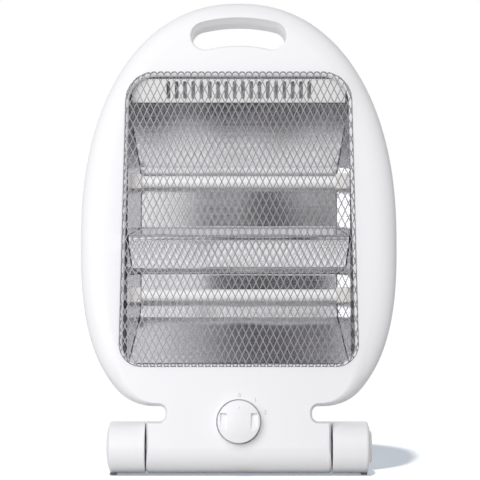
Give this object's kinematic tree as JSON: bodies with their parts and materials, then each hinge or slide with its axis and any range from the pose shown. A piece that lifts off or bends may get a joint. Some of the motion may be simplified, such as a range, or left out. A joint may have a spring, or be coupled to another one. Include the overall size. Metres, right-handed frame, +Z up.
{
  "type": "infrared heater",
  "caption": "Free-standing infrared heater: oval moulded head with a carrying slot, quartz tubes behind a dished mesh, a round dial, and a fold-away U-shaped foot on a barrel hinge.",
  "frame": {"origin": "on the floor under the middle of the overall box", "axes": "+X to the right as seen from the front, +Y to the back, +Z up; the head leans back 6 degrees"},
  "size_m": [0.2644, 0.1418, 0.3956],
  "materials": {
    "white_plastic": "gloss",
    "mesh_steel": "satin",
    "bright_sheet": "polished",
    "quartz": "milky",
    "ceramic": "matte",
    "coil_wire": "satin",
    "switch_plastic": "matte",
    "pale_plastic": "matte",
    "gland_rubber": "matte",
    "cutout_metal": "satin",
    "zinc_steel": "satin",
    "lead_sleeve": "matte",
    "pad_rubber": "matte"
  },
  "bodies": {
    "head": {"front_casing": "white_plastic", "rear_casing": "white_plastic", "grille": "mesh_steel", "grille_rib": "mesh_steel", "vent_panel": "white_plastic", "reflector": "bright_sheet", "side_plate_left": "bright_sheet", "side_plate_right": "bright_sheet", "quartz_tube_upper": "quartz", "quartz_tube_lower": "quartz", "heating_coil_upper": "coil_wire", "heating_coil_lower": "coil_wire", "tube_cap_upper_left": "ceramic", "tube_cap_upper_right": "ceramic", "tube_cap_lower_left": "ceramic", "tube_cap_lower_right": "ceramic", "rotary_switch": "switch_plastic", "tip_switch": "switch_plastic", "thermal_cutout": "cutout_metal", "terminal_block": "pale_plastic", "cord_gland": "gland_rubber", "screw_bottom_left": "zinc_steel", "screw_bottom_right": "zinc_steel", "screw_low_side_left": "zinc_steel", "screw_low_side_right": "zinc_steel", "screw_high_side_left": "zinc_steel", "screw_high_side_right": "zinc_steel", "screw_top_left": "zinc_steel", "screw_top_right": "zinc_steel", "lead_upper": "lead_sleeve", "lead_lower": "lead_sleeve", "lead_bridge": "lead_sleeve", "lead_return": "lead_sleeve", "hinge_bush_left": "pale_plastic", "hinge_bush_right": "pale_plastic"},
    "dial": {"knob": "white_plastic", "switch_shaft": "zinc_steel"},
    "pendulum": {"tip_pendulum": "zinc_steel"},
    "stand": {"stand_frame": "white_plastic", "hub_cap_left": "white_plastic", "hub_cap_right": "white_plastic", "pivot_pin": "zinc_steel", "pin_clip": "zinc_steel", "button_spring": "zinc_steel", "pad_front_left": "pad_rubber", "pad_front_right": "pad_rubber", "pad_rear_left": "pad_rubber", "pad_rear_right": "pad_rubber"},
    "button": {"fold_button": "white_plastic", "lock_cone": "pale_plastic"}
  },
  "joints": [
    {"name": "stand_fold", "type": "hinge", "parent": "head", "child": "stand", "pos_m": [0, -0.04109, 0.0225], "axis": [1, 0, 0], "range_deg": [0, 70]},
    {"name": "knob_turn", "type": "hinge", "parent": "head", "child": "dial", "pos_m": [0, -0.06378, 0.04585], "axis": [0, 0.9945, -0.1045], "range_deg": [0, 70]},
    {"name": "pendulum_swing", "type": "hinge", "parent": "head", "child": "pendulum", "pos_m": [-0.038, -0.04125, 0.03056], "axis": [1, 0, 0], "range_deg": [-10, 10]},
    {"name": "button_press", "type": "slide", "parent": "stand", "child": "button", "axis": [-1, 0, 0], "range_m": [0, 0.003], "stiffness_N_per_m": 400, "springref_m": -0.002, "deforming": ["button_spring"]}
  ]
}
